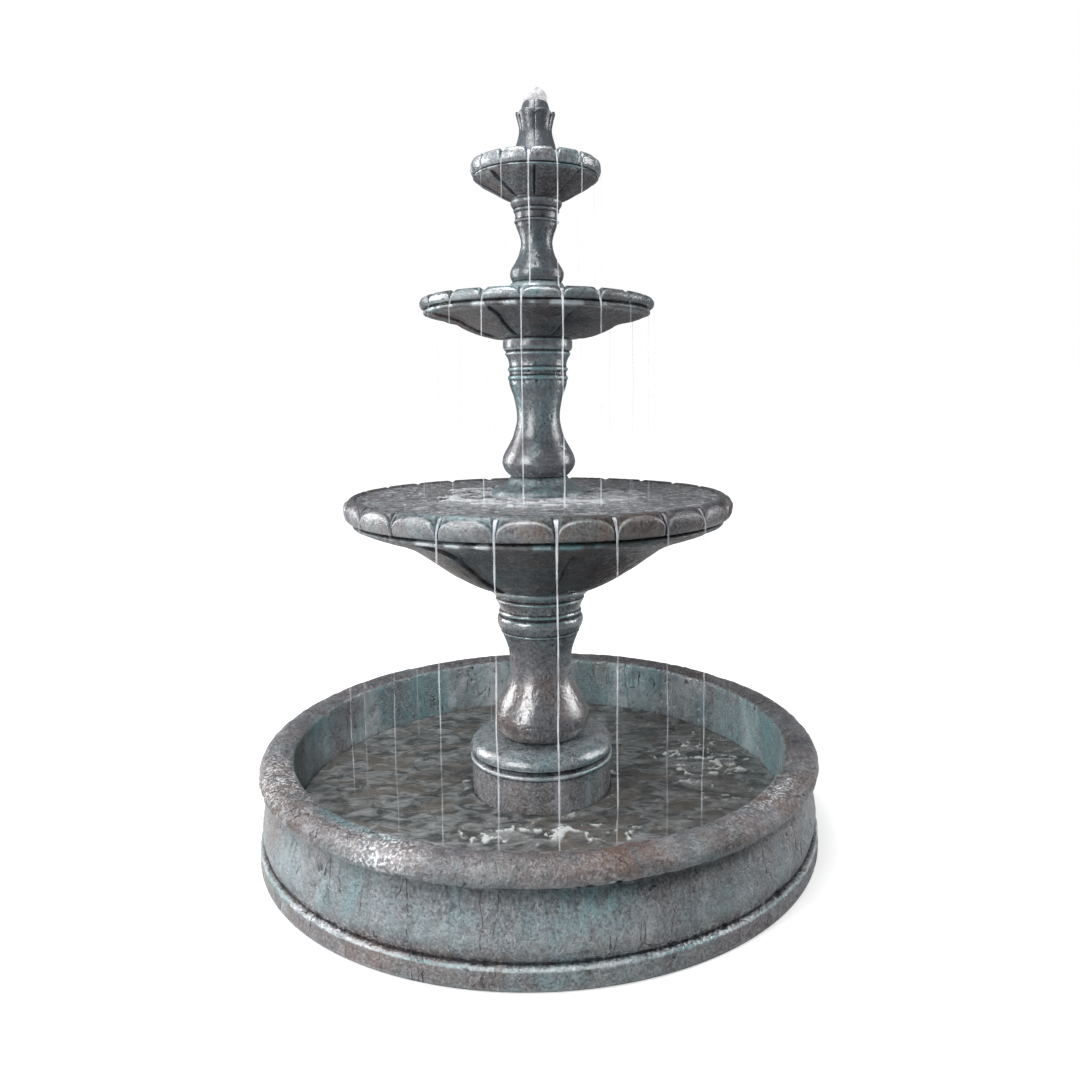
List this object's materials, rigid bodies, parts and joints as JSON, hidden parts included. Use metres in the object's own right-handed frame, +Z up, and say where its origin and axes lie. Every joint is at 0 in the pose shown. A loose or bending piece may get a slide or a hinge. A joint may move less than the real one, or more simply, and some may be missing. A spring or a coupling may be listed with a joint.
{
  "type": "tiered water fountain",
  "caption": "Free-standing garden fountain: a round pool, turned columns and petal-rimmed bowls in cast stone, with a submersible pump behind a pull-out door.",
  "frame": {"origin": "centre of the pool's underside, on the ground", "axes": "+Z up along the riser tube, -Y towards the front, +Y towards the access door, +X to the right seen from the front"},
  "size_m": [1.516, 1.516, 1.949],
  "materials": {
    "cast_stone": "wet weathered cast stone, blue-grey with brown and verdigris patches",
    "rubber": "matte black rubber",
    "vinyl": "cloudy soft vinyl tube",
    "shim_plastic": "dark plastic",
    "pump_plastic": "black moulded plastic",
    "dial_plastic": "blue moulded plastic",
    "impeller_plastic": "off-white moulded plastic",
    "ferrite": "dark grey ferrite magnet",
    "ceramic": "polished white ceramic",
    "stainless": "stainless steel"
  },
  "bodies": {
    "root": {"pool_basin": "cast_stone", "pump_housing": "cast_stone", "lower_column": "cast_stone", "lower_bowl": "cast_stone", "middle_column": "cast_stone", "middle_bowl": "cast_stone", "upper_column": "cast_stone", "upper_bowl": "cast_stone", "finial": "cast_stone", "lower_column_seal": "rubber", "lower_bowl_seal": "rubber", "middle_column_seal": "rubber", "middle_bowl_seal": "rubber", "upper_column_seal": "rubber", "upper_bowl_seal": "rubber", "finial_seal": "rubber", "lower_stopper": "rubber", "middle_stopper": "rubber", "upper_stopper": "rubber", "cord_stopper": "rubber", "volute_o_ring": "rubber", "cord_gland": "rubber", "pump_foot_1": "rubber", "pump_foot_2": "rubber", "pump_foot_3": "rubber", "pump_foot_4": "rubber", "riser_tube": "vinyl", "levelling_shim_1": "shim_plastic", "levelling_shim_2": "shim_plastic", "levelling_shim_3": "shim_plastic", "volute": "pump_plastic", "motor_housing": "pump_plastic", "outlet_barb": "pump_plastic", "front_bush": "ceramic", "rear_bush": "ceramic", "hose_clamp": "stainless", "clamp_screw": "stainless", "volute_screw_1": "stainless", "volute_screw_2": "stainless", "volute_screw_3": "stainless", "volute_screw_4": "stainless"},
    "rotor": {"impeller": "impeller_plastic", "magnet_rotor": "ferrite", "rotor_shaft": "ceramic"},
    "strainer": {"intake_strainer": "pump_plastic"},
    "dial": {"flow_dial": "dial_plastic"},
    "door": {"access_door": "cast_stone"},
    "plug": {"drain_plug": "rubber"}
  },
  "joints": [
    {"name": "impeller_spin", "type": "hinge", "parent": "root", "child": "rotor", "pos_m": [0, 0, 0.0645], "axis": [0, 1, 0], "continuous": true},
    {"name": "strainer_pull", "type": "slide", "parent": "root", "child": "strainer", "axis": [0, -1, 0], "range_m": [0, 0.03]},
    {"name": "dial_turn", "type": "hinge", "parent": "strainer", "child": "dial", "pos_m": [0, -0.046, 0.078], "axis": [0, -1, 0], "range_deg": [0, 90]},
    {"name": "door_pull", "type": "slide", "parent": "root", "child": "door", "axis": [0, 1, 0], "range_m": [0, 0.12]},
    {"name": "drain_plug_pull", "type": "slide", "parent": "root", "child": "plug", "axis": [0, 0, 1], "range_m": [0, 0.06]}
  ]
}
